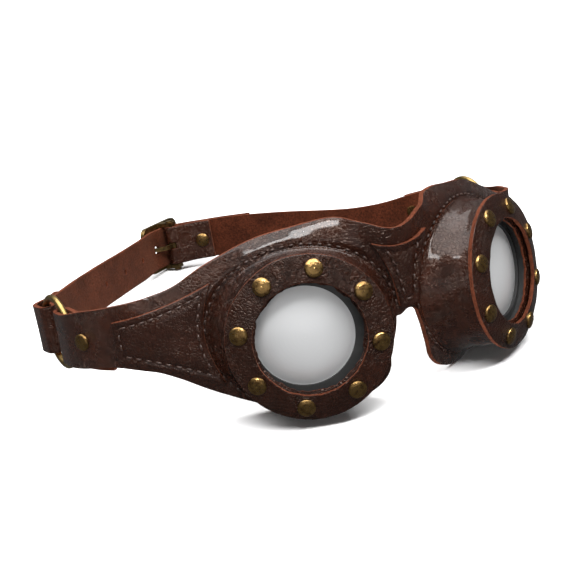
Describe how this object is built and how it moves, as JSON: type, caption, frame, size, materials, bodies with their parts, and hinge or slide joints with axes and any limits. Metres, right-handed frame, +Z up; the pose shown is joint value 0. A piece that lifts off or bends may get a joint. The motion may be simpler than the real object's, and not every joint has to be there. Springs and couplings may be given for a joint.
{
  "type": "motorcycle goggles",
  "caption": "Riding goggles: wrap-round leather mask with tall riveted eyecups, domed mirrored lenses, temple rings and a buckled leather head strap.",
  "frame": {"origin": "on the surface the goggles stand on, under the middle of their bounding box", "axes": "+Z up, -Y the way the wearer looks, +X the wearer's left"},
  "size_m": [0.221, 0.2424, 0.0715],
  "materials": {
    "mask_leather": "glossy dark chocolate leather with fine pebble grain and lighter cut edges",
    "tube_leather": "thin glossy creased leather",
    "washer_leather": "glossy creased leather with lighter cut edge",
    "patch_leather": "smooth dark leather, stitched round its edge",
    "strap_leather": "reddish flesh side inside, dark grain outside",
    "antique_brass": "antique, mottled, softly polished",
    "buckle_brass": "antique, darker than the rivets",
    "lens_holder": "matte black",
    "mirror_lens": "silver mirror coating on a dome"
  },
  "bodies": {
    "mask": {"mask_panel": "mask_leather", "nose_patch": "patch_leather", "temple_patch_right": "patch_leather", "temple_patch_left": "patch_leather", "eyecup_tube_right": "tube_leather", "eyecup_tube_left": "tube_leather", "lens_carrier_right": "lens_holder", "lens_carrier_left": "lens_holder", "lens_right": "mirror_lens", "lens_left": "mirror_lens", "lens_retainer_right": "lens_holder", "lens_retainer_left": "lens_holder", "flange_washer_right": "washer_leather", "flange_washer_left": "washer_leather", "flange_rivets_right": "antique_brass", "flange_rivets_left": "antique_brass", "tab_rivet_right": "antique_brass", "tab_rivet_left": "antique_brass"},
    "ring_right": {"ring_right": "antique_brass"},
    "ring_left": {"ring_left": "antique_brass"},
    "straps": {"strap_right": "strap_leather", "strap_left": "strap_leather", "strap_rivet_right": "antique_brass", "strap_rivet_left": "antique_brass", "buckle_rivet": "antique_brass"},
    "buckle": {"buckle_frame": "buckle_brass", "buckle_bar": "buckle_brass"},
    "prong": {"buckle_prong": "buckle_brass"}
  },
  "joints": [
    {"name": "ring_right_spin", "type": "hinge", "parent": "mask", "child": "ring_right", "pos_m": [-0.1068, -0.00718, 0.02801], "axis": [1, 0, 0], "continuous": true},
    {"name": "ring_left_spin", "type": "hinge", "parent": "mask", "child": "ring_left", "pos_m": [0.1068, -0.00718, 0.02801], "axis": [1, 0, 0], "continuous": true},
    {"name": "strap_tilt", "type": "hinge", "parent": "mask", "child": "straps", "pos_m": [0, -0.00718, 0.02801], "axis": [1, 0, 0], "range_deg": [-35, 40]},
    {"name": "buckle_swing", "type": "hinge", "parent": "straps", "child": "buckle", "pos_m": [-0.002, 0.10411, 0.01385], "axis": [0, -0.1262, -0.992], "range_deg": [-1.5, 2.5]},
    {"name": "prong_swing", "type": "hinge", "parent": "buckle", "child": "prong", "pos_m": [-0.002, 0.10411, 0.01385], "axis": [0, -0.1262, -0.992], "range_deg": [0, 2.5]}
  ]
}
